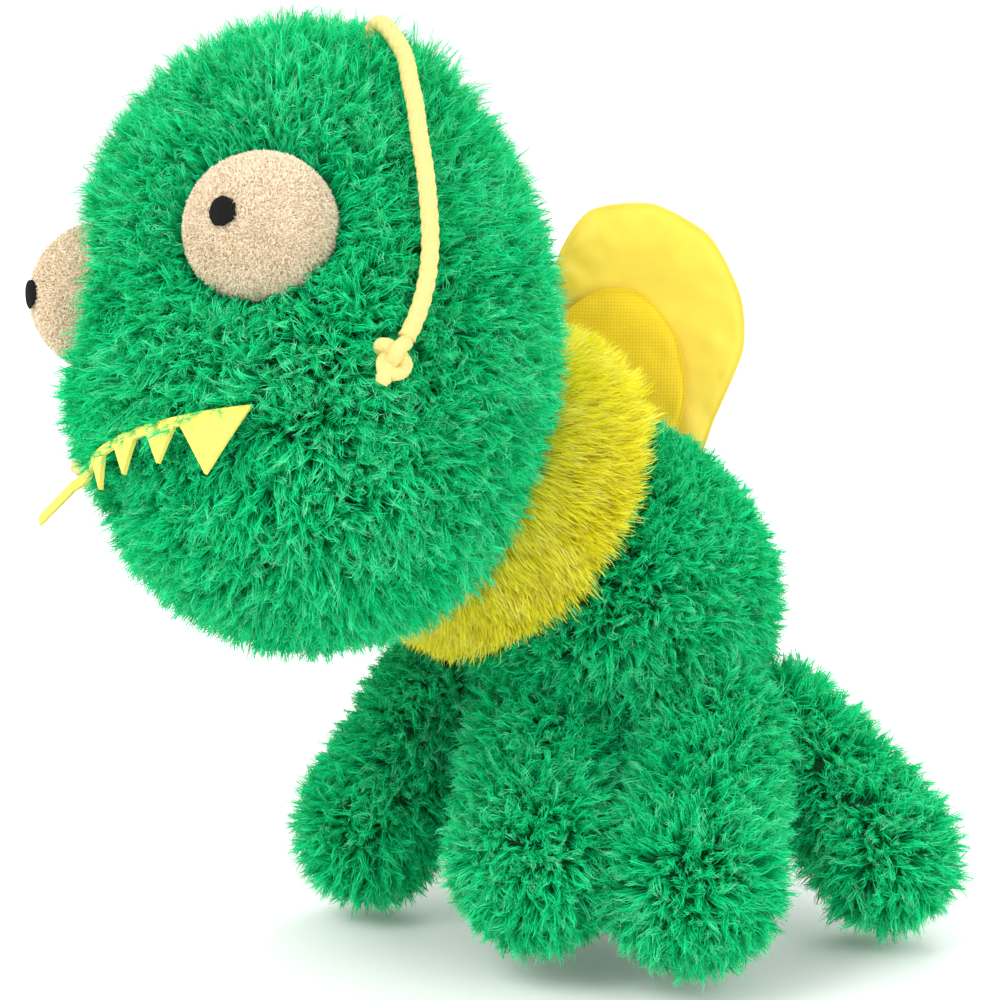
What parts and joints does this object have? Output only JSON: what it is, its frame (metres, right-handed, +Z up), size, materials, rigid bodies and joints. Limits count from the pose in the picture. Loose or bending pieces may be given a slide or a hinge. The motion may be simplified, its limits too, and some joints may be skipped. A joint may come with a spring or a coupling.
{
  "type": "moving mouth puppet",
  "caption": "Shaggy plush monster hand puppet with a hinged mouth, knotted cord antennae, fur collar, padded wings, arms and legs",
  "frame": {"origin": "middle of the hand opening's outer edge", "axes": "+Z up, the body faces -Y, the puppet's left is +X; the head is turned to the puppet's right"},
  "size_m": [0.262, 0.1939, 0.2689],
  "materials": {
    "fur_green": "matte",
    "eye_plush": "matte",
    "embroidery_black": "matte",
    "lining": "matte",
    "mouth_board": "matte",
    "felt_yellow": "matte",
    "cord_yellow": "matte",
    "collar_fur": "matte",
    "wing_yellow": "matte",
    "wing_mesh": "matte"
  },
  "bodies": {
    "torso": {"torso": "fur_green", "hand_sleeve": "lining"},
    "neck": {"neck_tube": "lining", "collar": "collar_fur"},
    "head": {"head_upper": "fur_green", "eye_left": "eye_plush", "eye_right": "eye_plush", "pupil_left": "embroidery_black", "pupil_right": "embroidery_black", "mouth_board_upper": "mouth_board", "finger_pocket": "lining", "teeth_strip": "felt_yellow", "antenna_left": "cord_yellow", "antenna_right": "cord_yellow", "antenna_knot_left": "cord_yellow", "antenna_knot_right": "cord_yellow"},
    "jaw": {"jaw_lower": "fur_green", "mouth_board_lower": "mouth_board", "thumb_pocket": "lining"},
    "arm_left": {"arm_left": "fur_green"},
    "arm_right": {"arm_right": "fur_green"},
    "leg_left": {"leg_left": "fur_green"},
    "leg_right": {"leg_right": "fur_green"},
    "wings_left": {"wing_upper_left": "wing_yellow", "wing_lower_left": "wing_mesh"},
    "wings_right": {"wing_upper_right": "wing_yellow", "wing_lower_right": "wing_mesh"}
  },
  "joints": [
    {"name": "head_turn", "type": "hinge", "parent": "torso", "child": "neck", "pos_m": [-0.0398, -0.05568, 0.0828], "axis": [-0.6376, -0.5108, 0.5767], "range_deg": [-18, 18]},
    {"name": "head_nod", "type": "hinge", "parent": "neck", "child": "head", "pos_m": [-0.0398, -0.05568, 0.0828], "axis": [0.7578, -0.5506, 0.3502], "range_deg": [-10, 8]},
    {"name": "jaw_open", "type": "hinge", "parent": "head", "child": "jaw", "pos_m": [-0.0988, -0.12306, 0.10453], "axis": [0.7578, -0.5506, 0.3502], "range_deg": [0, 28]},
    {"name": "arm_left_raise", "type": "hinge", "parent": "torso", "child": "arm_left", "pos_m": [0.046, -0.05, 0.018], "axis": [0, -1, 0], "range_deg": [0, 35]},
    {"name": "arm_right_raise", "type": "hinge", "parent": "torso", "child": "arm_right", "pos_m": [-0.051, -0.042, 0.029], "axis": [0, 1, 0], "range_deg": [0, 35]},
    {"name": "leg_left_kick", "type": "hinge", "parent": "torso", "child": "leg_left", "pos_m": [0.025, -0.07, 0.018], "axis": [-1, 0, 0], "range_deg": [0, 25]},
    {"name": "leg_right_kick", "type": "hinge", "parent": "torso", "child": "leg_right", "pos_m": [-0.025, -0.074, 0.015], "axis": [-1, 0, 0], "range_deg": [0, 25]},
    {"name": "wing_left_flap", "type": "hinge", "parent": "torso", "child": "wings_left", "pos_m": [0.00205, 0.0055, 0.07124], "axis": [-0.2696, 0.2079, 0.9403], "range_deg": [-2, 25]},
    {"name": "wing_right_flap", "type": "hinge", "parent": "torso", "child": "wings_right", "pos_m": [-0.02487, 0.0055, 0.06352], "axis": [0.2696, -0.2079, -0.9403], "range_deg": [-2, 25]}
  ]
}
